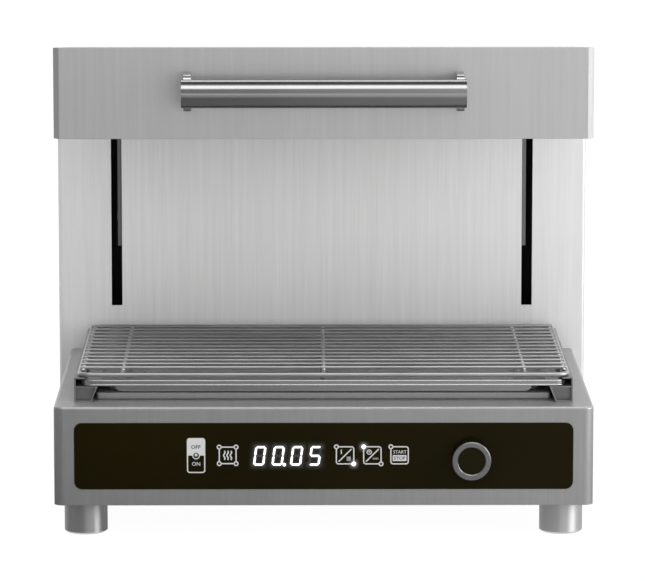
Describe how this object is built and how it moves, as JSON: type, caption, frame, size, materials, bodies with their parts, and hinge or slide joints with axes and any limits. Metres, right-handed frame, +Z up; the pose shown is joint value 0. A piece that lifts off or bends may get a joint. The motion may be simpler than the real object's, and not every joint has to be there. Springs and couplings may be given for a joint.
{
  "type": "salamander grill",
  "caption": "Electric salamander grill: a heater hood with a bar handle slides on a rear tower above a wire rack and drip tray, over a base with a glass control panel and knob.",
  "frame": {"origin": "on the table, below the middle of the outline", "axes": "+X to the user's right along the front, +Y to the back, +Z up"},
  "size_m": [0.598, 0.562, 0.523],
  "materials": {
    "hood_steel": "brushed",
    "tower_steel": "brushed, upright grain",
    "base_steel": "brushed",
    "rail_steel": "brushed",
    "tray_steel": "satin",
    "rack_wire": "polished wire",
    "handle_steel": "polished",
    "bracket_steel": "satin",
    "foot_steel": "turned",
    "fastener_steel": "zinc plated",
    "lift_steel": "bare",
    "rod_chrome": "ground and plated",
    "spring_black": "satin",
    "bushing_bronze": "machined",
    "buffer_rubber": "matt",
    "reflector_metal": "bright",
    "element_tube": "heat darkened",
    "hanger_steel": "heat tinted",
    "insulator_white": "matt",
    "fibre_white": "felted",
    "glass_black": "gloss",
    "display_black": "gloss",
    "board_green": "satin",
    "encoder_metal": "plated",
    "knob_black": "satin",
    "knob_metal": "turned",
    "relay_black": "satin",
    "terminal_ivory": "satin",
    "gland_black": "satin"
  },
  "bodies": {
    "base": {"base_casing": "base_steel", "base_floor": "base_steel", "control_glass": "glass_black", "control_backplate": "fastener_steel", "display_module": "display_black", "control_board": "board_green", "encoder_body": "encoder_metal", "power_board": "board_green", "board_standoffs": "fastener_steel", "solid_state_relays": "relay_black", "terminal_block": "terminal_ivory", "cable_gland": "gland_black", "front_left_foot": "foot_steel", "front_right_foot": "foot_steel", "rear_left_foot": "foot_steel", "rear_right_foot": "foot_steel", "foot_bolts": "fastener_steel", "left_rack_rail": "rail_steel", "right_rack_rail": "rail_steel", "casing_screws": "fastener_steel", "tower_front_panel": "tower_steel", "tower_left_side": "tower_steel", "tower_right_side": "tower_steel", "tower_top_cover": "tower_steel", "tower_back_panel": "tower_steel", "tower_floor": "base_steel", "lower_rod_bracket": "lift_steel", "upper_rod_bracket": "lift_steel", "left_guide_rod": "rod_chrome", "right_guide_rod": "rod_chrome", "left_gas_spring_cylinder": "spring_black", "right_gas_spring_cylinder": "spring_black", "bump_stops": "buffer_rubber"},
    "hood": {"hood_shell": "hood_steel", "hood_rear_panel": "hood_steel", "hood_reflector": "reflector_metal", "hood_insulation": "fibre_white", "heating_element_1": "element_tube", "heating_element_2": "element_tube", "heating_element_3": "element_tube", "heating_element_4": "element_tube", "element_hangers": "hanger_steel", "element_bushings": "insulator_white", "left_hood_arm": "lift_steel", "right_hood_arm": "lift_steel", "carriage": "lift_steel", "guide_bushings": "bushing_bronze", "left_gas_spring_rod": "rod_chrome", "right_gas_spring_rod": "rod_chrome", "handle_tube": "handle_steel", "handle_plugs": "handle_steel", "left_handle_bracket": "bracket_steel", "right_handle_bracket": "bracket_steel", "hood_fasteners": "fastener_steel"},
    "knob": {"knob_body": "knob_black", "knob_ring": "knob_metal", "encoder_shaft": "encoder_metal"},
    "rack": {"rack_frame": "rack_wire", "rack_rods": "rack_wire"},
    "tray": {"drip_tray": "tray_steel"}
  },
  "joints": [
    {"name": "hood_slide", "type": "slide", "parent": "base", "child": "hood", "axis": [0, 0, 1], "range_m": [-0.19, 0]},
    {"name": "knob_turn", "type": "hinge", "parent": "base", "child": "knob", "pos_m": [0.156, -0.229, 0.0868], "axis": [0, 1, 0], "continuous": true},
    {"name": "rack_slide", "type": "slide", "parent": "base", "child": "rack", "axis": [0, -1, 0], "range_m": [0, 0.25]},
    {"name": "tray_slide", "type": "slide", "parent": "base", "child": "tray", "axis": [0, -1, 0], "range_m": [0, 0.25]}
  ]
}
